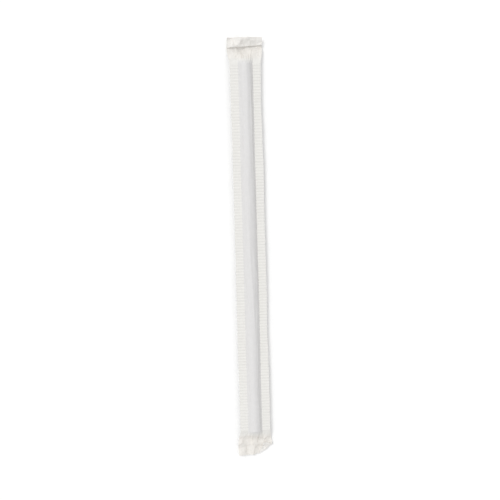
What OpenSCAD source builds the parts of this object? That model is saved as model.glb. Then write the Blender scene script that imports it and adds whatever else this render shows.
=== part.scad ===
// A drinking straw closed in its own paper sleeve, lying on a table.
// The straw runs along Y, the knurled seams stand out along X, and Z = 0 is the table.
// The sleeve is two paper webs, bonded along both long edges and past both ends of the straw.

/* [Straw] */
// Outside diameter of the straw that the paper follows
straw_d = 6; // [4:0.5:10]
// Length of the straw
straw_len = 200; // [120:5:260]

/* [Paper sleeve] */
// Thickness of one paper web
paper_t = 0.06; // [0.04:0.01:0.1]
// Slack between the side of the straw and the root of a seam
seam_gap = 0.94; // [0.5:0.02:2]
// Width of the pressed strip underneath, which the sleeve lies on
rest_w = 1.8; // [0.6:0.2:2.4]

/* [Long seams] */
// Width of the knurled seam along each long edge
seam_w = 4.2; // [2.6:0.2:7]
// Distance from one cross rib to the next
rib_pitch = 1.6; // [1:0.1:3]
// Height of the cross ribs, from valley to crest
rib_h = 0.2; // [0.06:0.02:0.3]
// Angle at which the right seam stands above level
right_lift = 7; // [-12:1:12]
// Angle at which the left seam stands above level
left_lift = -4; // [-12:1:12]

/* [Pressed ends] */
// Length of the empty sleeve past each end of the straw
tail_len = 13.4; // [11:0.2:20]
// Length over which the sleeve closes from round to flat
shoulder_len = 6.6; // [5:0.2:7.6]
// Fall of the near end towards the table, for each unit of length
near_fall = 0.46; // [0.4:0.02:0.7]
// Fall of the far end towards the table, for each unit of length
far_fall = 0.32; // [0.1:0.02:0.6]
// Height of the slack pleats that run from the straw's rim into each pressed end
pleat_h = 0.5; // [0.1:0.1:1]

/* [Corner folded over at the near end] */
// How much of the end's width is folded over
ear_w = 7.6; // [3:0.2:8]
// How much of the end's length is folded over
ear_len = 5.4; // [3:0.2:6]
// Height of the sprung corner over the paper under it
ear_spring = 0.7; // [0.2:0.1:2]

/* [Edge turned over at the far end] */
// Width of the turned edge
hem_w = 4.4; // [2:0.2:5]
// Height of its sprung free edge over the paper under it
hem_spring = 0.6; // [0.2:0.1:1.5]
// Slant of its free edge, for each unit of width
hem_slant = 0.07; // [-0.1:0.01:0.1]

/* [Hidden] */

// Radius of the paper round the straw
tube_r = straw_d / 2 + paper_t;
// Distance from the straw's axis to the root of each seam
root_x = tube_r + seam_gap;
// Height of the straw's axis over the table
axis_z = sqrt(pow(tube_r, 2) - pow(rest_w / 2, 2));
// Angle above level at which the slack web leaves the straw for the seam
leave_angle = acos(tube_r / root_x);
// Place where it leaves the straw, and its length from there to the seam
leave_x = tube_r * cos(leave_angle);
slack_len = root_x * sin(leave_angle);
// Angle from straight down to the edge of the pressed strip
rest_angle = asin(rest_w / 2 / tube_r);
// Half the width of the web between the seams, measured along the paper
web_half = tube_r * (90 - leave_angle) * PI / 180 + slack_len;
// Half the width of the sleeve pressed flat
flat_half_w = web_half + seam_w;

// Amount by which one paper shape stands clear of another that it covers
cover = 0.04;
// Half the thickness of a ribbed seam, and of the bead along its root
seam_half = rib_h / 2 + paper_t;
bead_half = seam_half + cover / 2;
// Width of the bead past the root, and width of seam buried behind the root
bead_w = 0.2;
seam_buried = 0.3;
// Number of whole ribs that fit along the straw
rib_count = floor(straw_len / rib_pitch);
// Length of straw that each pressed end covers: its edge falls on the slope of the last rib
lap = straw_len / 2 - (rib_count - 1.5) * rib_pitch / 2;
// Steps in the round top of the sleeve
arc_steps = 48;
// Steps across half a pressed end: over the straw, over the slack web and over the seam
crown_steps = 8;
slack_steps = 3;
seam_steps = 5;
// Steps along a pressed end
tail_steps = 22;
// Radius of a soft crease
crease_r = 0.5;
// Length of the step at the turned edge
edge_len = 0.05;

// Creases of a pressed end, as [x, distance past the straw, heading, rise for each unit of length]
near_creases = [
    [-5, 10, 34, 0.3],
    [-2, 8.4, 30, -0.06]
];
far_creases = [
    [0, 8.2, -3, 0.42],
    [4, 9.6, -34, -0.26],
    [-5, 6.4, -30, 0.14]
];
// Pleats of a pressed end, as [column counted from the middle, share of pleat_h]
near_pleats = [[-7, 1], [-3, -0.5], [1, 0.7], [6, -0.5], [9, 0.6]];
far_pleats = [[-9, 0.5], [-5, -0.6], [-1, 0.8], [4, -0.4], [7, 1]];
// Half width of a pleat in columns, and the length over which it runs out
pleat_reach = 2;
pleat_len = shoulder_len + 1.8;

// Value kept between 0 and 1
function unit(v) = max(0, min(1, v));

// Soft bend: 0 before the crease, then the distance d past it, with a round of radius r between
function bend(d, r) = d <= -r ? 0 : d >= r ? d : pow(d + r, 2) / (4 * r);

// Half the height of the sleeve over the straw, at x from its axis
function round_half(x) =
    abs(x) <= leave_x
        ? sqrt(pow(tube_r, 2) - pow(x, 2))
        : max(0, (root_x - abs(x)) / tan(leave_angle));

// Points of the arc round the straw from angle a to angle b
function arc(a, b, steps) = [
    for (i = [0:steps])
        let (t = a + (b - a) * i / steps)
        [tube_r * cos(t), tube_r * sin(t)]
];

// Share of the way from round to flat, at s past the straw
function closed(s) = unit(s / shoulder_len);

// Columns across a pressed end, as [x over the straw, x pressed flat], even along the paper
right_columns = concat(
    [
        for (i = [0:crown_steps])
            let (turn = (90 - leave_angle) * i / crown_steps)
            [tube_r * sin(turn), tube_r * turn * PI / 180]
    ],
    [
        for (i = [1:slack_steps])
            let (t = i / slack_steps)
            [leave_x + (root_x - leave_x) * t, web_half - slack_len * (1 - t)]
    ],
    [
        for (i = [1:seam_steps])
            let (t = i / seam_steps)
            [root_x + (seam_w + cover) * t, web_half + seam_w * t]
    ]
);
middle_column = len(right_columns) - 1;
columns = concat([for (i = [middle_column:-1:1]) -right_columns[i]], right_columns);

// Place of a column across the end, drawn in to the corner's fold line where ear is true
function column_x(col, s, ear) =
    let (
        open = col[0] + (col[1] - col[0]) * closed(s),
        fold = flat_half_w - ear_w * (s - tail_len + ear_len) / ear_len
    )
    ear && open > 0 ? open * min(1, fold / flat_half_w) : open;

// Sum of the creases' rises at a point
function crease_rise(x, s, creases, i = 0) =
    i == len(creases) ? 0 :
    let (
        k = creases[i],
        past = (s - k[1]) * cos(k[2]) - (x - k[0]) * sin(k[2])
    )
    k[3] * bend(past, crease_r) + crease_rise(x, s, creases, i + 1);

// Sum of the pleats' rises at a column, counted from the middle
function pleat_rise(count, s, pleats, i = 0) =
    i == len(pleats) ? 0 :
    pleats[i][1] * pleat_h * sin(180 * unit(s / pleat_len))
        * max(0, 1 - abs(count - pleats[i][0]) / pleat_reach)
    + pleat_rise(count, s, pleats, i + 1);

// Height of a seam over its root at x
function seam_rise(x) =
    max(0, abs(x) - root_x) * tan(x > 0 ? right_lift : left_lift);

// Height of the middle of the paper, with over as its place over the straw
function middle(over, x, s, fall, creases) =
    max(paper_t, axis_z - fall * bend(s, crease_r))
    + seam_rise(over) * (1 - closed(s))
    + crease_rise(x, s, creases);

// Half the height of a pressed end, from the straw's round sleeve down to flat paper
function tail_half(over, s) =
    paper_t + (max(round_half(over), seam_half) + cover - paper_t) * (1 - closed(s));

// Height of the turned edge over the paper, highest at its free edge
function hem_rise(s, hem) =
    hem && s >= tail_len - hem_w
        ? 2 * paper_t + hem_spring * (tail_len - s) / hem_w
        : 0;

// Lower and upper height of a pressed end: it never sinks into the table
function tail_low(over, x, s, fall, creases) =
    max(
        cover * (1 - unit(s)),
        middle(over, x, s, fall, creases) - tail_half(over, s)
    );
function tail_high(over, x, s, fall, creases, pleat) =
    max(
        tail_low(over, x, s, fall, creases) + 2 * paper_t,
        middle(over, x, s, fall, creases) + tail_half(over, s) + pleat
    );

// Stations from the lap to the tip, with a close pair at the turned edge
function stations(hem) =
    let (
        even = [for (i = [0:tail_steps]) tail_len * i / tail_steps],
        edge = tail_len - hem_w,
        near = tail_len / tail_steps / 3
    )
    hem
        ? concat(
            [-lap],
            [for (s = even) if (s < edge - near) s],
            [edge - edge_len, edge],
            [for (s = even) if (s > edge + near) s]
        )
        : concat([-lap], even);

// Distance past the straw, slanted near the turned edge
function slanted(s, x, hem) =
    hem ? s + hem_slant * x * max(0, 1 - abs(s - tail_len + hem_w) / hem_w) : s;

// Two sheets of points, upper and lower, closed round their edges into one solid.
// Each cell is split along the diagonal that leans with the creases.
module slab(high, low, lean) {
    rows = len(high);
    cols = len(high[0]);
    n = rows * cols;
    points = concat(
        [for (row = high) for (p = row) p],
        [for (row = low) for (p = row) p]
    );
    upper = [
        for (r = [0:rows - 2]) for (c = [0:cols - 2])
            let (a = r * cols + c, b = a + 1, d = a + cols, e = d + 1)
            each lean ? [[a, d, e], [a, e, b]] : [[a, d, b], [b, d, e]]
    ];
    lower = [for (f = upper) [f[2] + n, f[1] + n, f[0] + n]];
    rim = concat(
        [for (c = [0:cols - 1]) c],
        [for (r = [1:rows - 1]) r * cols + cols - 1],
        [for (c = [cols - 2:-1:0]) (rows - 1) * cols + c],
        [for (r = [rows - 2:-1:1]) r * cols]
    );
    wall = [
        for (i = [0:len(rim) - 1])
            let (a = rim[i], b = rim[(i + 1) % len(rim)])
            each [[a, b, a + n], [b, b + n, a + n]]
    ];
    polyhedron(points, concat(upper, lower, wall));
}

// Empty end of the sleeve, pressed flat past the straw
module pressed_end(fall, creases, pleats, ear, hem) {
    rows = stations(hem);
    high = [
        for (s = rows) [
            for (i = [0:2 * middle_column])
                let (
                    over = columns[i][0],
                    x = column_x(columns[i], s, ear),
                    pleat = pleat_rise(i - middle_column, s, pleats),
                    z = tail_high(over, x, s, fall, creases, pleat)
                )
                [x, straw_len / 2 + slanted(s, x, hem), z + hem_rise(s, hem)]
        ]
    ];
    low = [
        for (s = rows) [
            for (col = columns)
                let (x = column_x(col, s, ear))
                [
                    x,
                    straw_len / 2 + slanted(s, x, hem),
                    tail_low(col[0], x, s, fall, creases)
                ]
        ]
    ];
    slab(high, low, ear);
}

// Corner of the near end, folded over along its diagonal onto the flat paper
module folded_corner() {
    tip = [flat_half_w - ear_w, tail_len];
    side = [flat_half_w, tail_len - ear_len];
    along = (side - tip) / norm(side - tip);
    out = [-along[1], along[0]];
    corner = [flat_half_w, tail_len];
    free = corner - 2 * ((corner - tip) * out) * out;
    plan = [tip + out * cover, side + out * cover, free];
    fold_z = 4 * paper_t;
    tops = [fold_z, fold_z, fold_z + ear_spring];
    points = concat(
        [for (i = [0:2]) [plan[i][0], straw_len / 2 + plan[i][1], tops[i]]],
        [for (p = plan) [p[0], straw_len / 2 + p[1], paper_t / 2]]
    );
    polyhedron(points, [
        [0, 1, 2], [5, 4, 3],
        [0, 3, 1], [1, 3, 4],
        [1, 4, 2], [2, 4, 5],
        [2, 5, 0], [0, 5, 3]
    ]);
}

// Sleeve over the straw: round above, slack to the seams, pressed flat underneath
module sleeve_body() {
    web_x = root_x - bead_half * tan(leave_angle);
    bead_x = root_x + bead_w;
    outline = concat(
        [[bead_x, -bead_half], [bead_x, bead_half], [web_x, bead_half]],
        arc(leave_angle, 180 - leave_angle, arc_steps),
        [[-web_x, bead_half], [-bead_x, bead_half], [-bead_x, -bead_half], [-web_x, -bead_half]],
        arc(180 + leave_angle, 270 - rest_angle, arc_steps / 3),
        arc(270 + rest_angle, 360 - leave_angle, arc_steps / 3),
        [[web_x, -bead_half]]
    );
    translate([0, 0, axis_z])
        rotate([90, 0, 0])
            linear_extrude(height = straw_len, center = true)
                polygon(outline);
}

// Long edge where the two webs are knurled together: a strip with cross ribs
module knurled_seam(lift) {
    crest = [
        for (i = [0:2 * rib_count])
            [(i - rib_count) * rib_pitch / 2, (i % 2 == 0 ? -1 : 1) * rib_h / 2]
    ];
    over = [for (p = crest) [p[0], p[1] + paper_t]];
    under = [for (i = [len(crest) - 1:-1:0]) [crest[i][0], crest[i][1] - paper_t]];
    translate([root_x, 0, axis_z])
        rotate([0, -lift, 0])
            translate([-seam_buried, 0, 0])
                rotate([90, 0, 90])
                    linear_extrude(height = seam_w + seam_buried)
                        polygon(concat(over, under));
}

// The closed paper sleeve round the straw
module wrapped_straw() {
    color([0.93, 0.925, 0.91]) {
        sleeve_body();
        knurled_seam(right_lift);
        mirror([1, 0, 0]) knurled_seam(left_lift);
        pressed_end(far_fall, far_creases, far_pleats, false, true);
        mirror([0, 1, 0]) pressed_end(near_fall, near_creases, near_pleats, true, false);
        mirror([0, 1, 0]) folded_corner();
    }
}

wrapped_straw();
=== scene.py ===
# %% [markdown]
# # A drinking straw in its own white paper sleeve
# The real thing is a straw between two long webs of thin paper. A machine knurls the webs together
# along both edges, presses them flat past both ends of the straw and cuts the sleeve off. The straw
# can't be seen, so this lesson makes the paper round it.
#
# Such paper could be draped by a cloth simulation, or pushed about with the sculpting brushes. Here
# it is worked out as a surface of two coordinates, because then each crease has a place, a heading
# and a slope that can be measured and changed: `w` is the distance across the paper from its middle
# line, and `y` is the place along the straw.

# %% [markdown]
# ## The frame
# The solid model of the wrapped straw is loaded first. It is the frame that the paper is fitted to.
# Its box says how long, wide and high the sleeve is.

# %% Load the frame
import math

import bpy
import numpy as np
from mathutils import Matrix, Vector


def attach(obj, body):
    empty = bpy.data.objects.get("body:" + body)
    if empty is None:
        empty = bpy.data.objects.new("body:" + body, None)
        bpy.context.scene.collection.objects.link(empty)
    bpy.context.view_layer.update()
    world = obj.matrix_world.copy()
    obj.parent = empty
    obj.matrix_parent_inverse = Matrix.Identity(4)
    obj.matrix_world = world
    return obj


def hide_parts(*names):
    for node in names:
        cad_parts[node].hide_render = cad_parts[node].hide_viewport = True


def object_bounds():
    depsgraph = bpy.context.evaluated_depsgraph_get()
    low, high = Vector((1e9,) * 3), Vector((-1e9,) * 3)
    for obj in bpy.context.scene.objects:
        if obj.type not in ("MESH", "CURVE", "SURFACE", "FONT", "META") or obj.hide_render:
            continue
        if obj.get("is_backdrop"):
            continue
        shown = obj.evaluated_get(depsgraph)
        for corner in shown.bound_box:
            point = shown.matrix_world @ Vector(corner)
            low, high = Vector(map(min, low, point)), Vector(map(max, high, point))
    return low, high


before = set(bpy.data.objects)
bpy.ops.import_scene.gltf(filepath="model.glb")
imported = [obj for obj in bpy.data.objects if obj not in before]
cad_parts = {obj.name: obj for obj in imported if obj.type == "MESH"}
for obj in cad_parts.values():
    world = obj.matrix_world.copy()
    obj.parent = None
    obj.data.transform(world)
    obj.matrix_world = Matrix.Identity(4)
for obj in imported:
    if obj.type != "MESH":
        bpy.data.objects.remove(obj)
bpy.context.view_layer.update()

# %% [markdown]
# ## Sizes
# Everything is measured in millimetres and turned into metres once, when a mesh is made. The section
# of a sleeve could be drawn by eye as a curve. It is safer to work it out, because paper can't
# stretch: it leaves the straw on a tangent that runs to the root of the seam, so the angle and the
# length of that slack stretch follow from the straw's radius and the gap between straw and seam.

# %% Sizes of the straw and the sleeve
MM = 0.001
straw_d, straw_len = 6.0, 200.0
paper_t = 0.06  # thickness of one web
seam_gap, seam_w = 0.94, 4.2  # from the straw to the seam, and across the seam
rest_w = 1.8  # strip underneath that lies on the table
rib_pitch, rib_h = 1.6, 0.2
right_lift, left_lift = math.radians(7), math.radians(-4)  # angle of each seam to the table
tail_len, shoulder_len = 13.4, 6.6  # paper past the straw, and the part of it that closes

tube_r = straw_d / 2 + paper_t
root_x = tube_r + seam_gap
axis_z = math.sqrt(tube_r**2 - (rest_w / 2) ** 2)
leave = math.acos(tube_r / root_x)
arc_len = tube_r * (math.pi / 2 - leave)
slack_len = root_x * math.sin(leave)
web_half = arc_len + slack_len
flat_half_w = web_half + seam_w
print(f"slack paper {slack_len:.2f} mm on each side, web {2 * flat_half_w:.1f} mm wide when flat")

# %% [markdown]
# ## Creases and fades
# Paper is straight between sharp creases. A crease could be an edge of the mesh that is moved by
# hand, but then it has to follow the grid. `bend` puts one anywhere: it is level before the crease
# and slopes after it, with a small round between. `ease` fades one thing into another with no
# crease at all.


# %% Crease and fade
def bend(d, r):
    """0 before a crease and the distance d past it, with a parabola from -r to r between them."""
    return np.where(d <= -r, 0.0, np.where(d >= r, d, (d + r) ** 2 / (4 * r)))


def ease(t):
    """0 below t = 0 and 1 above t = 1, with three t squared less two t cubed between."""
    t = np.clip(t, 0, 1)
    return t * t * (3 - 2 * t)


print("a crease with a round of 1, from -2 to 2:", bend(np.linspace(-2, 2, 5), 1.0))

# %% [markdown]
# ## Smooth random heights
# Slack paper sways a little everywhere. A Displace modifier with a cloud texture would do that, but
# it can't be held at the seam or stretched along the straw. `drift` can, because it is a function
# like the others. Its numbers come from a seeded table, so the paper is the same each time.


# %% Drift
def drift(u, v, seed, size=64):
    """Random heights from -1 to 1 at the whole numbers of u and v, eased from each to the next."""
    table = np.random.default_rng(seed).uniform(-1, 1, (size, size))
    u, v = np.broadcast_arrays(u, v)
    i, j = np.floor(u).astype(int), np.floor(v).astype(int)
    fu, fv = ease(u - i), ease(v - j)
    i0, i1, j0, j1 = i % size, (i + 1) % size, j % size, (j + 1) % size
    before = table[i0, j0] * (1 - fv) + table[i0, j1] * fv
    after = table[i1, j0] * (1 - fv) + table[i1, j1] * fv
    return before * (1 - fu) + after * fu


print("drift along a line:", drift(np.linspace(0, 3, 7), 0.5, 1).round(2))

# %% [markdown]
# ## Flat facets
# Crumpled paper isn't smooth: it breaks into flat facets with straight creases between them. Smooth
# noise never looks like that, and a simulation needs a very fine mesh to find the creases. Here is a
# quick way to such a surface. Planes that touch a bowl make a bowl of flat facets, and one faceted
# bowl less another one leaves a level sheet with the creases of both.


# %% Facets
def facets(u, v, seed, spacing, depth, blur=0.03, size=64):
    """Flat facets with straight creases between them, as in crumpled paper, about depth high.

    A bowl, as high as the square of the distance from its middle, is touched by a plane over each
    of many scattered points. The highest of the planes near a place makes the bowl out of flat
    facets, and blur rounds their creases. Two such bowls over other points, one less the other,
    leave a level sheet of facets.
    """
    table = np.random.default_rng(seed).uniform(0, 1, (2, 2, size, size))
    u, v = np.broadcast_arrays(u / spacing, v / spacing)
    i, j = np.floor(u).astype(int), np.floor(v).astype(int)
    cells_around = [(a, b) for a in range(-2, 3) for b in range(-2, 3)]
    bowls = []
    for jitter_u, jitter_v in table:
        gaps = []
        for a, b in cells_around:
            cell = (i + a) % size, (j + b) % size
            gaps.append((i + a + jitter_u[cell] - u) ** 2 + (j + b + jitter_v[cell] - v) ** 2)
        gaps = np.stack(gaps)
        least = gaps.min(0)
        bowls.append(blur * np.log(np.exp((least - gaps) / blur).sum(0)) - least)
    return depth * (bowls[0] - bowls[1])


sample = facets(np.linspace(0, 30, 61)[None, :], np.linspace(0, 30, 61)[:, None], 1, 2.0, 1.0)
print(f"facets 1 mm deep reach from {sample.min():.2f} to {sample.max():.2f} mm")

# %% [markdown]
# ## The section over the straw
# Across the paper there are three stretches on each side of the middle: round over the straw,
# straight where the paper is slack, and level along the knurled seam. A curve extruded along the
# straw would give the same shape, but then nothing could change on the way. As a function it can be
# asked for any `w`. The root of the seam is a crease with a small round, as a knurling wheel leaves.

# %% Section of one web
root_round = 0.1
level_before, level_run = 0.3, 0.5  # where `outward` turns from the slack stretch to straight up


def section(w):
    """Place x and height h over the straw's axis, at the distance w along the paper.

    Over the straw they are the sine and cosine of w over the radius. Then a straight line on the
    tangent runs down to the seam, where a crease stops it level, one paper thick.
    """
    a = np.abs(w)
    turn = np.minimum(a, arc_len) / tube_r
    slack = np.maximum(a - arc_len, 0)
    past = np.maximum(a - web_half, 0)
    x = tube_r * np.sin(turn) + np.minimum(slack, slack_len) * math.sin(leave) + past
    h = tube_r * np.cos(turn) - slack * math.cos(leave)
    return np.sign(w) * x, paper_t + bend(h - paper_t, root_round)


def outward(w):
    """Sideways and upward parts of the direction that points away from the straw at w.

    They are the sine and cosine of w over the radius, held past the straw and faded to straight
    up at the seam.
    """
    a = np.abs(w)
    lean = np.minimum(a, arc_len) / tube_r * (1 - ease((a - web_half + level_before) / level_run))
    return np.sign(w) * np.sin(lean), np.cos(lean)


print("x and height at middle, tangent, root and edge:")
print(np.round(section(np.array([0, arc_len, web_half, flat_half_w])), 2))

# %% [markdown]
# ## Slack paper
# A perfect section looks like a moulding. Real paper is slack beside the straw, so it bulges and
# dips there, and over the straw it can only stand off. Sculpting would do for one straw, but the
# same three sums of drift and facets serve the whole length of both webs, and `held_w` keeps them
# from lifting the seam.

# %% Slack
slack_depth, slow_share, quick_share = 0.22, 0.7, 0.25  # height of the drift and its two parts
slow_len, slow_w, slow_start = 24, 5, 9  # steps along and across, and a start in the table
quick_len, quick_w, quick_skew = 7.5, 2.6, 0.3
facet_w, facet_depth, facet_stretch, facet_blur = 2.4, 0.34, 8.0, 0.1
dip_depth, dip_start, dip_run, dip_round = 0.22, 1.2, 1.6, 0.04  # room for dips beside the straw
held_w = 0.9  # width beside the seam over which the slack fades out


def slack_rise(w, y, seed):
    """How far the paper stands away from its section: drift and long facets, held at the seam.

    A slow and a quick drift are added to facets that are stretched along the straw. The sum is
    stopped at 0 over the straw, and at dip_depth under it beside the straw.
    """
    a = np.abs(w)
    slow = drift(y / slow_len, w / slow_w + slow_start, seed)
    quick = drift(y / quick_len + quick_skew * w, w / quick_w, seed + 1)
    long_facets = facets(w, y / facet_stretch, seed + 2, facet_w, facet_depth, facet_blur)
    rise = slack_depth * (slow_share * slow + quick_share * quick) + long_facets
    dip = dip_depth * ease((a - dip_start) / dip_run)
    return (bend(rise + dip, dip_round) - dip) * (1 - ease((a - web_half + held_w) / held_w))


sample = slack_rise(0.0, np.linspace(-100, 100, 401), 51)
print(f"over the straw the paper stands off by up to {sample.max():.2f} mm")

# %% [markdown]
# ## Soft ridges
# A straw that was squeezed keeps a few long soft ridges in the front of its sleeve, where the slack
# was pushed together. They run at small angles to the straw and fade out at both ends. Curves
# pressed into the mesh would do the same. A list of five lines is easier to change.

# %% Ridges
# Each ridge is [w and y where it starts, w and y where it ends, height]
ridges = [
    [-2.9, 66, 1.7, -62, 0.26],
    [3.3, 12, 2.2, -88, 0.24],
    [2.2, 94, 3.2, 22, 0.24],
    [-3.6, -20, -2.4, -94, 0.22],
    [-1.2, 96, -2.6, 48, 0.2],
]
ridge_w, ridge_round, ridge_taper, ridge_power = 0.8, 0.25, 0.25, 1.4


def ridge_rise(w, y):
    """Sum of long low tents, each falling off to both sides of its line and tapered at its ends.

    A tent is 1 less the distance from its line over ridge_w, to the power ridge_power.
    """
    total = np.zeros(np.broadcast(w, y).shape)
    for w0, y0, w1, y1, height in ridges:
        along = (y - y0) / (y1 - y0)
        off = np.abs(w - (w0 + (w1 - w0) * along))
        taper = ease(along / ridge_taper) * ease((1 - along) / ridge_taper)
        total += height * taper * np.maximum(0, 1 - bend(off, ridge_round) / ridge_w) ** ridge_power
    return total


longest = max(math.hypot(w1 - w0, y1 - y0) for w0, y0, w1, y1, _ in ridges)
print(f"{len(ridges)} ridges, the longest {longest:.0f} mm")

# %% [markdown]
# ## Knurled ribs
# The knurling wheels press fine ribs across both seams, one every 1.6 mm, and the ribs pull the
# paper in, so a small pucker runs from each one into the slack web. An Array of one rib would be
# quick, but it would be perfect. A wave whose height and spacing drift a little is as quick, and its
# ribs are all different. Ribs that are only a bump in the material would vanish from the side.

# %% Ribs
# Each drift along a seam is [height, length, row of its table, seed]
rib_sway = [0.05, 5, 7, 31]  # in parts of a rib's pitch
rib_strength, rib_change = 0.85, 0.25  # share of rib_h, and how much it drifts
change_len, change_w, change_seed = 4.3, 3, 32
pucker_w, pucker_power = 1.3, 1.6  # how far the puckers reach into the slack, and how they fade
rib_fade = 1.8  # length before the straw's rim over which the ribs end
flat_crest = 0.35


def seam_drift(w, y, height, length, row, seed):
    """Height times a drift along the straw, from one row of its table at w > 0, another at w < 0."""
    return height * drift(y / length, np.sign(w) * row, seed)


def rib_rise(w, y):
    """A wave across the seam, one for each rib, which fades out into the slack web as puckers.

    The cosine less a share of its cube has flatter crests and steeper sides, as pressed ribs have.
    """
    across = ease((np.abs(w) - web_half + pucker_w) / pucker_w) ** pucker_power
    along = 1 - ease((np.abs(y) - straw_len / 2 + rib_fade) / rib_fade)
    count = y / rib_pitch + seam_drift(w, y, *rib_sway)
    strength = rib_strength + rib_change * drift(y / change_len, w / change_w, change_seed)
    wave = np.cos(2 * np.pi * count)
    wave *= 1 + flat_crest - flat_crest * wave**2
    return rib_h / 2 * across * along * strength * wave


print(f"{int(straw_len / rib_pitch)} ribs in each seam")

# %% [markdown]
# ## Seams that sway
# The machine's cut isn't quite straight, so the edges of the seams wander sideways by a fifth of a
# millimetre, and handling bends them, so the angle at which they stand changes along the straw, with
# a few kinks. A Lattice modifier could bend them, but it would bend the paper over the straw too.
# These two functions give 0 at the root of a seam and grow towards its cut edge.

# %% Seams
# Drifts along the seam, as for the ribs: two for the edge's place and one for the seam's angle
edge_wander = [[0.22, 21, 5, 47], [0.08, 6, 5, 48]]
lean_sway = [math.radians(3.2), 27, 3, 41]
seam_round = 0.12
kink_len, kink_across, kink_shift, kink_seed = 6, 0.25, 40, 43
kink_w, kink_depth = 2.0, 0.15


def seam_wander(w, y):
    """How far the seam's cut edge wanders sideways: slow drift, growing from the root outwards."""
    share = ease((np.abs(w) - web_half) / seam_w)
    return share * sum(seam_drift(w, y, *row) for row in edge_wander)


def seam_rise(w, y):
    """Height of the seam over its root: it leans by its own angle, which sways along the straw.

    That is the distance past the root times the tangent of the angle, with facets added as kinks.
    """
    out = bend(np.abs(w) - web_half, seam_round)
    lift = np.where(w > 0, right_lift, left_lift) + seam_drift(w, y, *lean_sway)
    side = kink_shift * np.sign(w)
    kinks = facets(y / kink_len + side, kink_across * w, kink_seed, kink_w, kink_depth)
    return out * np.tan(lift) + kinks * ease((np.abs(w) - web_half) / seam_w)


edge_z = axis_z + seam_rise(np.array([-flat_half_w, flat_half_w]), 0.0)
print(f"half way along, the left edge is {edge_z[0]:.1f} mm up and the right one {edge_z[1]:.1f} mm")

# %% [markdown]
# ## Plan of the pressed ends
# Past the straw the two webs close from round to flat over a short shoulder, slope down to the
# table, and crease. Both ends are made by the same functions, each from a list of its own. A real
# end could be copied crease by crease with the knife tool. A list with a place, a heading and a slope
# for each crease says the same in one line, and `s` is the distance past the straw.

# %% Lists for both ends
# fall: slope of the paper's way down; lie: height at which it levels out; facet: size of its facets
# Each crease is [place across, place past the straw, heading in degrees, slope past it]
# Each pleat is [place across at the rim, height, sideways lean, length, width]
near = dict(
    fall=0.46,
    creases=[
        [-5, 10, 34, 0.3],
        [-2, 8.4, 30, -0.06],
        [0, 4.9, 5, 0.16],
        [0, 8.3, -7, -0.2],
        [-4, 6, -58, 0.05],
        [3, 7, 52, 0.03],
    ],
    pleats=[
        [-3.4, 0.3, -0.16, 5.5, 0.9],
        [-2.1, 0.42, 0.1, 9.5, 0.6],
        [-1.2, 0.16, -0.05, 4.0, 0.4],
        [0.5, 0.3, 0.2, 6.5, 0.5],
        [1.7, 0.4, -0.12, 8.5, 0.65],
        [3.3, 0.26, 0.2, 6.0, 0.9],
    ],
    facet=4.6,
    lie=0.5,
    seed=71,
)
far = dict(
    fall=0.32,
    creases=[
        [0, 8.2, -3, 0.42],
        [4, 9.6, -34, -0.26],
        [-5, 6.4, -30, 0.14],
        [-3, 7, 55, 0.04],
        [5, 5, -62, 0.04],
    ],
    pleats=[
        [-3.2, 0.28, -0.2, 6.0, 0.9],
        [-2.2, 0.36, -0.02, 8.0, 0.55],
        [-0.7, 0.34, -0.14, 6.5, 0.5],
        [0.4, 0.15, 0.05, 4.0, 0.4],
        [1.4, 0.3, 0.08, 5.5, 0.45],
        [2.5, 0.42, 0.14, 9.0, 0.7],
    ],
    facet=6.2,
    lie=0.45,
    seed=83,
)
for title, end in (("near", near), ("far", far)):
    print(f"{title} end: {len(end['creases'])} creases and {len(end['pleats'])} pleats")

# %% [markdown]
# ## Large creases and pleats
# These are the folds that give each end its own shape: the shoulder where the tube closes, the
# creases across the flat paper, and the pleats where the slack of the round paper has to go when it
# is pressed flat. They could be sculpted with a crease brush, which makes them soft and wavy. Each
# real one is straight and sharp, so `bend` makes all of them.

# %% Shoulder, creases and pleats
hinge_r, crisp_r = 0.25, 0.07  # rounds of the shoulder's creases and of the crisp ones
crease_start = 3  # length past the rim over which the creases grow
pleat_round, pleat_power = 0.04, 0.7


def shut(s):
    """Share of the way from round to flat: a straight run with a crease at each end of it."""
    return (bend(s, hinge_r) - bend(s - shoulder_len, hinge_r)) / shoulder_len


def crease_rise(x, s, creases):
    """Sum of the creases: each adds its slope times the distance past its line, beyond the straw."""
    total = np.zeros(np.broadcast(x, s).shape)
    for x0, s0, heading, slope in creases:
        t = math.radians(heading)
        past = (s - s0) * math.cos(t) - (x - x0) * math.sin(t)
        total += slope * bend(past, crisp_r)
    return total * ease(s / crease_start)


def pleat_rise(w, s, pleats):
    """Pleats that run out from the straw's rim, sharp on top and highest a third of the way along.

    Each is a tent across its own line, times a sine of the share of its length to the power 0.7.
    """
    total = np.zeros(np.broadcast(w, s).shape)
    for w0, height, lean, length, wide in pleats:
        off = np.abs(w - w0 - lean * s)
        run = np.clip(s / length, 0, 1)
        tent = np.maximum(0, 1 - bend(off, pleat_round) / wide)
        total += height * tent * np.sin(np.pi * run**pleat_power)
    return total


print("share shut at the rim, half way and past the shoulder:", shut(np.array([0, 3.3, 8])).round(2))

# %% [markdown]
# ## Crumpled paper
# Thin paper that was pressed and let go keeps many small creases that nobody would list one by one.
# Two kinds are mixed here: long straight folds that cross the whole end, and flat facets in a large
# and a small size. A cloth simulation would crumple an end too, but it takes minutes and seldom
# comes out as wanted. Seeded numbers take no time, and the eye takes the folds for real as long as
# they are straight, sharp and of several sizes.

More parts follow.
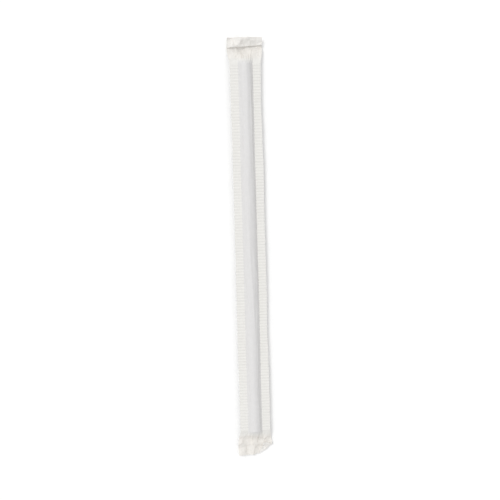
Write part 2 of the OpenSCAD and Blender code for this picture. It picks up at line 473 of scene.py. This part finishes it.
# %% Long folds and crumpling
fold_count, fold_slope, fold_sine = 7, 0.11, 0.996
shortest_fold, longest_fold = 5, 12
wander_depth, wander_len = 0.25, 2.5  # folds wander a little from their straight lines
facet_share, crisp_blur, skew_x, skew_s = 0.25, 0.01, 0.5, 0.3  # depth by size, and their slant
small_facet, small_depth, small_blur = 1.9, 0.15, 0.02
large_from, large_run, small_before, small_run = 1, 5, 0.2, 2  # where both sizes fade in


def long_folds(x, s, seed):
    """Sum of zigzags with random headings, so that long straight creases cross one another.

    A zigzag is the arc sine of a sine, and the sine is held a little under 1 to round its creases.
    """
    least, most = [[0], [shortest_fold], [0]], [[np.pi], [longest_fold], [longest_fold]]
    draws = np.random.default_rng(seed).uniform(least, most, (3, fold_count))
    wander = wander_depth * drift(x / wander_len, s / wander_len, seed + 1)
    total = np.zeros(np.broadcast(x, s).shape)
    for heading, period, start in draws.T:
        along = x * math.cos(heading) + s * math.sin(heading) + start + wander
        zigzag = np.arcsin(fold_sine * np.sin(2 * np.pi * along / period))
        total += fold_slope * period / (2 * np.pi) * zigzag
    return total


def crumple_rise(x, s, end):
    """Long folds and two sizes of random facets, which fade in past the straw's rim."""
    size, seed = end["facet"], end["seed"]
    folds = long_folds(x, s, seed + 5)
    large = facets(x + skew_x * s, s - skew_s * x, seed, size, facet_share * size, crisp_blur)
    small = facets(x, s, seed + 1, small_facet, small_depth, small_blur)
    fine = small * ease((s + small_before) / small_run)
    return (folds + large) * ease((s - large_from) / large_run) + fine


sample = crumple_rise(np.linspace(-9, 9, 91)[None, :], np.linspace(6, 13, 36)[:, None], near)
print(f"the near end crumples from {sample.min():.2f} to {sample.max():.2f} mm")

# %% [markdown]
# ## One surface for the whole sleeve
# `sleeve` puts it all together for both webs. Over the straw the section and the heights on it
# count, and past the straw they shrink to nothing while the creases grow. Modelled as tube, seams and
# ends, the sleeve would show where they join. As one function it has no joints, like the paper. The
# lower web never goes through the table, and the upper web never goes through the lower one.

# %% The sleeve as a function of the paper
table_round, level_round = 0.1, 0.3  # where the middle meets the table, and levels out over it
web_seeds = ((1, 51), (-1, 61))  # upper and lower web
lower_pleats = 0.3  # height of the lower web's pleats as a share of the upper one's
lower_round, upper_round = 0.04, 0.02  # where a web is stopped by the table or the web under it


def middle(x, s, end):
    """Height of the paper's middle: level over the straw, then falling to the table, then creased."""
    lie = paper_t + end["lie"]
    fall = lie + bend(axis_z - lie - end["fall"] * bend(s, hinge_r), level_round)
    z = fall + crease_rise(x, s, end["creases"]) + crumple_rise(x, s, end)
    return paper_t + bend(z - paper_t, table_round)


def sleeve(w, y, end, x_limit=None):
    """Points of the upper and lower web at the distance w across the paper and y along the straw.

    A web is the middle height plus or less the section's height and the slack, all times the share
    that isn't shut yet, with the pleats on top. x_limit draws the paper in to a fold line.
    """
    w, y = np.broadcast_arrays(w, y)
    s = np.abs(y) - straw_len / 2
    flat = shut(s)
    side, up = outward(w)
    x_over, h = section(w)
    x = (x_over + seam_wander(w, y)) * (1 - flat) + w * flat
    if x_limit is not None:
        x = np.where(x > 0, x * np.minimum(1, x_limit(s) / flat_half_w), x)
    mid = middle(x, s, end) + (seam_rise(w, y) + rib_rise(w, y)) * (1 - flat)
    pleats = pleat_rise(w, s, end["pleats"])
    points = []
    for web, seed in web_seeds:
        rise = slack_rise(w, y, seed) + (ridge_rise(w, y) if web > 0 else 0)
        half = paper_t + (h - paper_t + rise * up) * (1 - flat)
        z = mid + web * half + pleats * (1 if web > 0 else lower_pleats)
        points.append(np.stack([x + rise * side * (1 - flat), y, z], -1))
    top, bottom = points
    bottom[..., 2] = bend(bottom[..., 2], lower_round)
    least = bottom[..., 2] + 2 * paper_t
    top[..., 2] = least + bend(top[..., 2] - least, upper_round)
    return top, bottom


top, bottom = sleeve(0.0, np.array([-110.0, -103.0, 0.0]), near)
print("height of the upper web in the near end, on its shoulder and half way:", top[:, 2].round(2))

# %% [markdown]
# ## Where the paper is doubled and creased
# The finish changes over the paper: two layers are whiter than one, and a sharp crease gets painted
# shade, a browner tone that stands in for the thin shadow in its fold. That could be painted by hand.
# It is surer to work it out from the shape and to store it at the mesh's points as two values,
# `doubled` and `creased`, which the material reads later.

# %% Values for the finish
# Each share fades in from a little before the seam's root, or the straw's rim, over a run
seam_share, seam_before, seam_run = 0.4, 0.25, 0.4
end_share, end_before, end_run = 0.8, 0.3, 4.5
# Painted crease shade grows with the sharpness of a crease, and only where the paper is doubled
crease_sharpness = 0.6
crease_shade_from, crease_shade_run = 0.45, 0.3  # in values of `doubled`
tiny_step = 1e-6


def doubled_share(w, y):
    """0 over the straw, 0.4 in the seams and 0.8 in the pressed ends. A folded layer has 1."""
    seam = seam_share * ease((np.abs(w) - web_half + seam_before) / seam_run)
    end = end_share * ease((np.abs(y) - straw_len / 2 + end_before) / end_run)
    return np.maximum(seam, end)


def creased_share(top, doubled):
    """How sharp a crease is at each point: its turn of slope over crease_sharpness, 1 at most.

    The turn is the second difference of the height over the step, the larger one of both ways. It
    counts only in the pressed ends, because the ribs of the seams aren't creases. The material paints
    shade into the creases by this share.
    """
    turns = []
    for axis in (0, 1):
        step = np.linalg.norm(np.diff(top, axis=axis), axis=-1)
        slope = np.diff(top[..., 2], axis=axis) / np.maximum(step, tiny_step)
        pad = [(1, 1) if k == axis else (0, 0) for k in (0, 1)]
        turns.append(np.abs(np.pad(np.diff(slope, axis=axis), pad)))
    # Painted shade: the sharper the crease, the more of the browner crease tone it gets
    painted_crease_shade = np.clip(np.maximum(*turns) / crease_sharpness, 0, 1)
    return painted_crease_shade * ease((doubled - crease_shade_from) / crease_shade_run)


print("doubled over the straw, in the seam and in an end:")
print(doubled_share(np.array([0, flat_half_w, 0]), np.array([0, 0, 110])))

# %% [markdown]
# ## From two grids to one closed mesh
# A grid of points becomes faces by counting: point, next across, next along. One sheet with a
# Solidify modifier would also give paper with a thickness, but over the straw the two webs stand
# apart, so both sides are worked out. The upper and lower grid share a wall round their rim, which
# is the paper's thin cut edge. Whole arrays go into the mesh at once, with no loop over its points.

# %% Mesh from an upper and a lower grid
sharp_angle = math.radians(38)


def closed_sheet(name, top, bottom, doubled):
    """Closed mesh of two grids of points in millimetres, rows along the paper, columns across it."""
    rows, cols = top.shape[:2]
    count = rows * cols
    index = np.arange(count).reshape(rows, cols)
    corners = [index[:-1, :-1], index[:-1, 1:], index[1:, 1:], index[1:, :-1]]
    upper = np.stack(corners, -1).reshape(-1, 4)
    rim = np.concatenate([index[0, :-1], index[:-1, -1], index[-1, :0:-1], index[:0:-1, 0]])
    after = np.roll(rim, -1)
    wall = np.stack([rim, rim + count, after + count, after], -1)
    quads = np.concatenate([upper, upper[:, ::-1] + count, wall]).astype(np.int32)
    points = np.concatenate([top.reshape(-1, 3), bottom.reshape(-1, 3)]) * MM
    mesh = bpy.data.meshes.new(name)
    mesh.vertices.add(len(points))
    mesh.vertices.foreach_set("co", points.astype(np.float32).ravel())
    mesh.loops.add(quads.size)
    mesh.loops.foreach_set("vertex_index", quads.ravel())
    mesh.polygons.add(len(quads))
    mesh.polygons.foreach_set("loop_start", np.arange(len(quads), dtype=np.int32) * 4)
    mesh.update(calc_edges=True)
    doubled = np.broadcast_to(doubled, (rows, cols))
    for title, values in (("doubled", doubled), ("creased", creased_share(top, doubled))):
        value = mesh.attributes.new(title, "FLOAT", "POINT")
        value.data.foreach_set("value", np.tile(values.ravel(), 2).astype(np.float32))
    mesh.shade_smooth()
    mesh.set_sharp_from_angle(angle=sharp_angle)
    piece = bpy.data.objects.new(name, mesh)
    bpy.context.scene.collection.objects.link(piece)
    print(f"{name}: {len(points)} points, {2 * len(quads)} triangles")
    return piece


print(f"edges that turn by more than {math.degrees(sharp_angle):.0f} degrees stay sharp")

# %% [markdown]
# ## The long stretch over the straw
# This is the sleeve as far as the straw's rims. One even grid, as fine as the ends need it, would
# have more than a million triangles. So the steps differ: ten for each rib along the straw, and
# across it they are closest together at the root of the seam. Two halves that meet on a rib's crest
# keep each mesh small enough to handle. They stop a little before the rims, where the ends take over
# with a grid of their own.

# %% Sleeve body
end_cover = 1.2  # how far an end's grid reaches back over the straw
steps_per_rib = 10
body_half = straw_len / 2 - end_cover
tube_steps, edge_steps = 19, 8
root_from, root_to = 0.45, 0.5  # the close steps lie from before the root to past it
root_steps = [-root_from, -0.22, -0.08, 0.05, 0.2, root_to]

half_columns = np.concatenate(
    [
        np.linspace(0, web_half - root_from, tube_steps)[:-1],
        web_half + np.array(root_steps),
        np.linspace(web_half + root_to, flat_half_w, edge_steps)[1:],
    ]
)
columns = np.concatenate([-half_columns[:0:-1], half_columns])
body = []
for name, low, high in (("sleeve_near_half", -body_half, 0), ("sleeve_far_half", 0, body_half)):
    rows = np.linspace(low, high, int(body_half / rib_pitch * steps_per_rib) + 1)
    grid_w, grid_y = columns[None, :], rows[:, None]
    top, bottom = sleeve(grid_w, grid_y, near)
    body.append(closed_sheet(name, top, bottom, doubled_share(grid_w, grid_y)))

# %% [markdown]
# ## The near end
# At this end the paper stops at a diagonal fold, because one corner of it is folded over. The fold
# could be cut out of the mesh, but that leaves ragged faces. Instead the columns are drawn in to the
# fold line, so the grid's own edge is the fold. The end starts a hair deeper than the sleeve's body,
# tucked under it, so that no crack shows between the two grids.

# %% Near end
ear_w, ear_len = 7.6, 5.4  # the folded corner, across the paper and along it
fine_step = 0.12
tuck_len, tuck_depth = 0.4, 0.05


def fold_line(s):
    """Place of the diagonal fold line across the paper at s past the straw.

    It meets the paper's side ear_len before the cut edge, and has come in by ear_w at that edge.
    """
    return flat_half_w - ear_w * (s - tail_len + ear_len) / ear_len


def tucked(top, bottom, s):
    """Both webs of an end, drawn together by tuck_depth where they start under the sleeve's body.

    From there the depth eases to 0 over tuck_len.
    """
    depth = tuck_depth * (1 - ease((s + end_cover + tuck_len) / tuck_len))
    for web, points in ((1, top), (-1, bottom)):
        points[..., 0] *= 1 - depth / flat_half_w
        points[..., 2] -= web * depth
    return top, bottom


fine_columns = np.linspace(-flat_half_w, flat_half_w, int(2 * flat_half_w / fine_step))
end_start = -end_cover - tuck_len
end_rows = np.linspace(end_start, tail_len, int((tail_len - end_start) / fine_step))
# The rows run from the cut edge back here, so that y grows along them and the faces point outwards
grid_w, grid_s = fine_columns[None, :], end_rows[::-1, None]
top, bottom = tucked(*sleeve(grid_w, -straw_len / 2 - grid_s, near, fold_line), grid_s)
near_end = closed_sheet("near_end", top, bottom, doubled_share(grid_w, straw_len / 2 + grid_s))

# %% [markdown]
# ## Paper that turns back
# Both ends have a layer that is folded over: a corner at this end and a hem at the other one. A fold
# with no round would leave the two layers in one place, so the paper goes half round a tight roll and
# then lies back, sprung up a little, as thin paper does when it is let go. A Simple Deform modifier
# can roll a sheet too, but not round a fold that lies on crumpled paper. `p` is the distance past
# the fold. The layer has some facets of its own, or it would only copy the paper under it.

# %% A rolled fold and its layer
roll_r = 0.13
spring_power = 1.3
own_facet, own_depth, own_blur = 3.0, 0.75, 0.02  # the layer's own facets
own_lift, own_round, own_run = 0.16, 0.05, 1.8  # raised, stopped at 0, and grown over a run


def rolled(p, spring, width):
    """Place out past the fold, and height, of a sheet that turns back at a roll, with the turn made.

    For half a circle it goes round the roll, and past that straight back, rising to spring at width.
    """
    turn = np.minimum(p / roll_r, np.pi)
    back = np.maximum(p - np.pi * roll_r, 0)
    out = roll_r * np.sin(turn) - back
    rise = roll_r * (1 - np.cos(turn)) + spring * (back / width) ** spring_power
    return out, rise, turn


def layer_rise(x, s, p, seed):
    """Facets that only the folded layer has, upwards from the paper under it, growing past the roll."""
    own = facets(x, s, seed, own_facet, own_depth, own_blur) + own_lift
    return bend(own, own_round) * ease((p - np.pi * roll_r) / own_run)


def both_sides(x, y, z, turn, out_x, out_y):
    """Upper and lower side of a sheet that has turned over, each one paper thickness off its middle.

    The shift is level, along out_x and out_y, by the sine of the turn, and upwards by its cosine.
    """
    sides = []
    for web in (1, -1):
        level = -web * paper_t * np.sin(turn)
        up = web * paper_t * np.cos(turn)
        sides.append(np.stack([x + level * out_x, y + level * out_y, z + up], -1))
    return sides


print(f"the paper goes {np.pi * roll_r:.2f} mm round the roll at a fold")

# %% [markdown]
# ## The folded corner
# The corner is a triangle with the fold as its long side. A fan of triangles would show its spokes
# when it is bent, so it is a grid like the rest: each row starts at the fold and runs as far as the
# triangle reaches there. The two ends of the fold, where the reach is 0, are trimmed by a hair.

# %% Folded corner
corner_spring, corner_seed = 1.5, 97
corner_rows, corner_cols, corner_trim = 80, 60, 0.003
fold_start = np.array([flat_half_w - ear_w, tail_len])
fold_end = np.array([flat_half_w, tail_len - ear_len])
corner = np.array([flat_half_w, tail_len])
fold_len = np.linalg.norm(fold_end - fold_start)
along = (fold_end - fold_start) / fold_len
across = np.array([-along[1], along[0]])
foot = (corner - fold_start) @ along / fold_len
depth = (corner - fold_start) @ across

start = np.linspace(corner_trim, 1 - corner_trim, corner_rows)[:, None]
reach = depth * np.minimum(start / foot, (1 - start) / (1 - foot))
p = np.linspace(0, 1, corner_cols)[None, :] * reach
out, rise, turn = rolled(p, corner_spring, depth)
place = fold_start + start[..., None] * fold_len * along + out[..., None] * across
x, s = place[..., 0], place[..., 1]
z = middle(x, s, near) + rise + layer_rise(x, s, p, corner_seed)
top, bottom = both_sides(x, -straw_len / 2 - s, z, turn, across[0], -across[1])
folded_corner = closed_sheet("folded_corner", top, bottom, 1.0)

# %% [markdown]
# ## The far end with its hem
# Here the edge is turned over along its whole width. The hem could be a sheet of its own, as the
# corner is. But this fold runs straight across the grid, so the end and its hem are one piece: the
# rows simply carry on round the roll and back over the paper, as far as a slightly slanted edge.

# %% Far end
hem_w, hem_spring, hem_slant, hem_rows, hem_seed = 4.4, 0.6, 0.07, 48, 101
grid_w, grid_s = fine_columns[None, :], end_rows[:, None]
top, bottom = tucked(*sleeve(grid_w, straw_len / 2 + grid_s, far), grid_s)

hem_len = np.pi * roll_r + hem_w - hem_slant * grid_w
p = np.linspace(0, 1, hem_rows)[1:, None] * hem_len
out, rise, turn = rolled(p, hem_spring, hem_w)
x, s = np.broadcast_to(grid_w, out.shape), tail_len + out
z = middle(x, s, far) + rise + layer_rise(x, s, p, hem_seed)
hem_top, hem_bottom = both_sides(x, straw_len / 2 + tail_len + out, z, turn, 0, 1)
doubled = np.concatenate([doubled_share(grid_w, top[..., 1]), np.ones(x.shape)])
top, bottom = np.concatenate([top, hem_top]), np.concatenate([bottom, hem_bottom])
far_end = closed_sheet("far_end", top, bottom, doubled)

pieces = [*body, near_end, folded_corner, far_end]
flat_len = straw_len + 2 * tail_len + hem_w
print(f"each web is cut {2 * flat_half_w:.1f} by {flat_len:.1f} mm")

# %% [markdown]
# ## Tones of the paper
# Thin bleached paper is not one white. It is greyer where one layer lies on the straw, warmer where
# two layers lie together, and lightest where they are folded over. Along a sharp crease a browner
# tone is painted shade, for the thin shadow in the fold. The tones are written as they look on a
# screen, from 0 to 1, and `linear` turns them into the numbers that Blender's shaders work with.

# %% Tones
single_tone = (0.882, 0.878, 0.876)
seam_tone = (0.922, 0.917, 0.902)
end_tone = (0.932, 0.92, 0.901)
folded_tone = (0.952, 0.944, 0.93)
# painted shade: a darker, browner tone for the shadow in a sharp fold
crease_shade_tone = (0.895, 0.873, 0.842)


def linear(tone):
    """Scene-linear colour of an sRGB one, by the curve of the sRGB standard.

    Near black it is the value over 12.92, and above that (value + 0.055) / 1.055, to the power 2.4.
    """
    return [c / 12.92 if c <= 0.04045 else ((c + 0.055) / 1.055) ** 2.4 for c in tone] + [1.0]


print("paper over the straw, linear:", [round(c, 3) for c in linear(single_tone)])

# %% [markdown]
# ## The material
# Paper is matt: it spreads the light and hardly shines. The Principled shader says that with two of
# its sockets. A plain Diffuse shader would be nearly right too, but real paper has a faint sheen at
# low angles, and that comes with the Principled one.

# %% Material
paper_rough, paper_shine = 0.62, 0.35
paper = bpy.data.materials.new("white_wrapping_paper")
paper.use_nodes = True
tree = paper.node_tree
shader = tree.nodes["Principled BSDF"]
shader.inputs["Roughness"].default_value = paper_rough
shader.inputs["Specular IOR Level"].default_value = paper_shine
print(f"{paper.name}: roughness {paper_rough}")

# %% [markdown]
# ## Helpers for nodes
# The rest of the finish is a small tree of nodes. It could be laid out by hand in the shader editor.
# Four helpers do it in a line for each node here: a new node, a link, noise brought to a range of
# values, and a sum or product. The noise reads the object's own coordinates, so it stays on the
# paper when the straw is moved.

# %% Node helpers
factor_in, first_in, second_in, colour_out = 0, 6, 7, 2  # a Mix node's sockets for colours
noise_low, noise_high = 0.3, 0.7  # nearly all noise lies between these
noise_detail, noise_rough, noise_twist = 4.0, 0.6, 0.4


def node(kind, **values):
    """New node of a kind in the tree at hand, with its inputs or its own settings set by name."""
    made = tree.nodes.new(kind)
    for name, value in values.items():
        if name in made.inputs:
            made.inputs[name].default_value = value
        else:
            setattr(made, name, value)
    return made


def link(source, target):
    """Joins an output socket to an input socket."""
    tree.links.new(source, target)


def speckle(scale, stretch, low, high, turn=0.0):
    """Noise on the object's coordinates, turned and stretched, brought to a range of values."""
    squeeze = node("ShaderNodeMapping", Rotation=(0, 0, turn), Scale=stretch)
    link(coords.outputs["Object"], squeeze.inputs["Vector"])
    noise = node("ShaderNodeTexNoise", Scale=scale, Detail=noise_detail)
    noise.inputs["Roughness"].default_value = noise_rough
    noise.inputs["Distortion"].default_value = noise_twist
    link(squeeze.outputs[0], noise.inputs["Vector"])
    span = node("ShaderNodeMapRange")
    span.inputs["From Min"].default_value = noise_low
    span.inputs["From Max"].default_value = noise_high
    span.inputs["To Min"].default_value = low
    span.inputs["To Max"].default_value = high
    link(noise.outputs["Fac"], span.inputs["Value"])
    return span.outputs[0]


def joined(kind, a, b):
    """Product or sum of two values."""
    made = node("ShaderNodeMath", operation=kind)
    link(a, made.inputs[0])
    link(b, made.inputs[1])
    return made.outputs[0]


coords = node("ShaderNodeTexCoord")
print(f"noise is read from {noise_low} to {noise_high}, with {noise_detail:.0f} octaves")

# %% [markdown]
# ## Colour
# A ramp reads `doubled` and gives each stretch of paper its tone, and `creased` mixes in painted
# shade, a browner tone for the shadow in a sharp crease. Held to the light, paper is cloudy, because
# its fibres lie unevenly. Two sizes of noise, about 2.4 and 0.7 mm, multiply the colour by a little
# more or less than 1 for that. A picture of paper could be used instead, but it blurs close up and
# has to be unwrapped.

# %% Paper colour
cloud_scale, formation_scale = 420.0, 1500.0  # in waves per metre
thin_paper, thick_paper = 0.975, 1.015
even = (1, 1, 1)

doubled_value = node("ShaderNodeAttribute", attribute_name="doubled")
tone = node("ShaderNodeValToRGB")
tone.color_ramp.elements[0].color = linear(single_tone)
tone.color_ramp.elements[1].color = linear(folded_tone)
tone.color_ramp.elements.new(seam_share).color = linear(seam_tone)
tone.color_ramp.elements.new(end_share).color = linear(end_tone)
link(doubled_value.outputs["Fac"], tone.inputs["Fac"])

# Painted shade: `creased` mixes the browner crease tone into sharp folds, where their shadow falls
creased_value = node("ShaderNodeAttribute", attribute_name="creased")
painted_crease_shade = node("ShaderNodeMix", data_type="RGBA")
painted_crease_shade.inputs[second_in].default_value = linear(crease_shade_tone)
link(creased_value.outputs["Fac"], painted_crease_shade.inputs[factor_in])
link(tone.outputs["Color"], painted_crease_shade.inputs[first_in])

cloud = speckle(cloud_scale, even, thin_paper, thick_paper)
formation = speckle(formation_scale, even, thin_paper, thick_paper)
clouded = node("ShaderNodeMix", data_type="RGBA", blend_type="MULTIPLY")
clouded.inputs[factor_in].default_value = 1.0
link(painted_crease_shade.outputs[colour_out], clouded.inputs[first_in])
link(joined("MULTIPLY", cloud, formation), clouded.inputs[second_in])
link(clouded.outputs[colour_out], shader.inputs["Base Color"])
print("ramp stops at", [round(stop.position, 2) for stop in tone.color_ramp.elements])

# %% [markdown]
# ## Fibres
# Close up, paper is a mat of fibres. They are far too fine to model, so they are a bump: two sets of
# noise stretched into strands that cross each other, and a fine grain. Strands that all ran one way,
# or at right angles, would look woven.

# %% Paper fibres
fibre_scale, grain_scale = 2300.0, 5200.0
strand, short_grain = (1, 0.22, 1), (1, 0.6, 1)
fibre_turn, other_turn, grain_turn = 0.45, -0.7, 0.2  # in radians
fibre_strength, fibre_height = 0.22, 0.00003  # the height in metres

grain = speckle(grain_scale, short_grain, 0.0, 1.0, grain_turn)
fibre = speckle(fibre_scale, strand, 0.0, 1.0, fibre_turn)
other_fibre = speckle(fibre_scale, strand, 0.0, 1.0, other_turn)
bump = node("ShaderNodeBump", Strength=fibre_strength, Distance=fibre_height)
link(joined("ADD", joined("ADD", fibre, other_fibre), grain), bump.inputs["Height"])
link(bump.outputs["Normal"], shader.inputs["Normal"])
print(f"{len(tree.nodes)} nodes in the paper")

# %% [markdown]
# ## Fitting the paper to the frame
# Every piece gets the paper, rides on the frame's one body, and stands for its one solid, which is
# hidden from now on. Nothing here moves, so this is all that the frame needs to know.

# %% Paper on every piece
for piece in pieces:
    piece.data.materials.append(paper)
    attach(piece, "root")
    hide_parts("wrapped_straw")
print([piece.name for piece in pieces])

# %% [markdown]
# ## The floor
# The straw lies on a plain white floor, so large that its edge is never in the picture. It only has
# to catch the shadow, so four corners are enough. A shadow catcher would leave the background empty
# instead, but a real floor also throws light back up under the seams.

# %% Floor
floor_half, floor_z = 3.0, -0.00002  # in metres, and a hair under the paper
floor_mesh = bpy.data.meshes.new("floor")
floor_corners = [(-1, -1), (1, -1), (1, 1), (-1, 1)]
floor_points = [(floor_half * u, floor_half * v, floor_z) for u, v in floor_corners]
floor_mesh.from_pydata(floor_points, [], [(0, 1, 2, 3)])
floor = bpy.data.objects.new("floor", floor_mesh)
bpy.context.scene.collection.objects.link(floor)
floor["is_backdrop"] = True
print(f"floor {2 * floor_half:.0f} m across")

# %% [markdown]
# ## Paint of the floor
# A floor under soft light never comes out quite white, and more light would wash out the paper. So
# a little glow is added that only the camera sees: the background is white, the floor keeps the
# straw's shadow, and no light is added to the straw.

# %% Floor paint
floor_tone, floor_glow = 0.95, 0.1
floor_paint = bpy.data.materials.new("floor_white")
floor_paint.use_nodes = True
tree = floor_paint.node_tree
floor_shader = tree.nodes["Principled BSDF"]
floor_shader.inputs["Base Color"].default_value = (floor_tone, floor_tone, floor_tone, 1)
floor_shader.inputs["Roughness"].default_value = 1.0
floor_shader.inputs["Specular IOR Level"].default_value = 0.0
ray = node("ShaderNodeLightPath")
lift = node("ShaderNodeMath", operation="MULTIPLY")
lift.inputs[1].default_value = floor_glow
glow = node("ShaderNodeEmission")
both = node("ShaderNodeAddShader")
link(ray.outputs["Is Camera Ray"], lift.inputs[0])
link(lift.outputs[0], glow.inputs["Strength"])
link(floor_shader.outputs[0], both.inputs[0])
link(glow.outputs[0], both.inputs[1])
link(both.outputs[0], tree.nodes["Material Output"].inputs["Surface"])
floor_mesh.materials.append(floor_paint)
print(f"floor tone {floor_tone}, glow {floor_glow}")

# %% [markdown]
# ## The sky
# White paper needs soft light, or it burns out on one side and goes dark on the other. A white sky
# gives most of it from all round, as a light tent does in a studio. It lights the paper with less
# than 1, and only the camera's own rays see it as plain white.

# %% Sky
sky_strength = 0.71
world = bpy.data.worlds.new("sky")
world.use_nodes = True
tree = world.node_tree
lit = tree.nodes["Background"]
lit.inputs["Color"].default_value = (1, 1, 1, 1)
lit.inputs["Strength"].default_value = sky_strength
seen = node("ShaderNodeBackground", Color=(1, 1, 1, 1))
sky_ray = node("ShaderNodeLightPath")
either = node("ShaderNodeMixShader")
link(sky_ray.outputs["Is Camera Ray"], either.inputs[0])
link(lit.outputs[0], either.inputs[1])
link(seen.outputs[0], either.inputs[2])
link(either.outputs[0], tree.nodes["World Output"].inputs["Surface"])
bpy.context.scene.world = world
print(f"sky of strength {sky_strength}")

# %% [markdown]
# ## The key light
# A sun lamp from the upper left shades the round of the straw and brings out the creases. It is as
# wide as 22 degrees, so that its shadows are soft. An area lamp would do as well, but it would light
# one end of something this long more than the other.

# %% Key light
sun_strength, sun_width = 1.1, math.radians(22)
lamp_data = bpy.data.lights.new("key", "SUN")
lamp_data.energy = sun_strength
lamp_data.angle = sun_width
lamp = bpy.data.objects.new("key", lamp_data)
lamp.location = (-1.0, 0.85, 1.85)
lamp.rotation_euler = (-lamp.location).to_track_quat("-Z", "Y").to_euler()
bpy.context.scene.collection.objects.link(lamp)
print(f"sun of strength {sun_strength}, {math.degrees(sun_width):.0f} degrees wide")

# %% [markdown]
# ## The camera
# The camera looks down on the straw with its far end up in the picture, from a little to the left
# and a little beyond it, and the straw leans a little to the left. Its turn could be found with a
# Track To constraint, but that can't say how the picture leans. Three directions at right angles can:
# back to the camera, to the right, and up in the picture. They are the columns of its matrix.

# %% Camera
distance = 0.55
frame_w = 0.2715  # width of what is seen at that distance
look_z = 0.002
sensor_w = 36
tilt_left, tilt_far, lean = math.radians(9), math.radians(5.5), math.radians(1.6)
camera_data = bpy.data.cameras.new("camera")
camera_data.sensor_width = sensor_w
camera_data.lens = sensor_w * distance / frame_w
camera = bpy.data.objects.new("camera", camera_data)
bpy.context.scene.collection.objects.link(camera)
bpy.context.scene.camera = camera
back = Vector((-math.sin(tilt_left), math.sin(tilt_far), 1)).normalized()
right = Vector((math.sin(lean), math.cos(lean), 0)).cross(back).normalized()
upward = back.cross(right)
moved = Matrix.Translation(Vector((0, 0, look_z)) + back * distance)
turned = Matrix((right, upward, back)).transposed().to_4x4()
camera.matrix_world = moved @ turned
bpy.context.scene.view_settings.view_transform = "Standard"
print(f"lens {camera_data.lens:.0f} mm")

# %% [markdown]
# ## Sizes at the end
# The last step prints the box of the finished paper. It should differ from the frame's box only by
# what the crumpled ends and the drift of the slack paper add, which is a fraction of a millimetre.

# %% Sizes and finish
low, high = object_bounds()
print("visual box", [round(v * 1000, 2) for v in (*low, *high)])
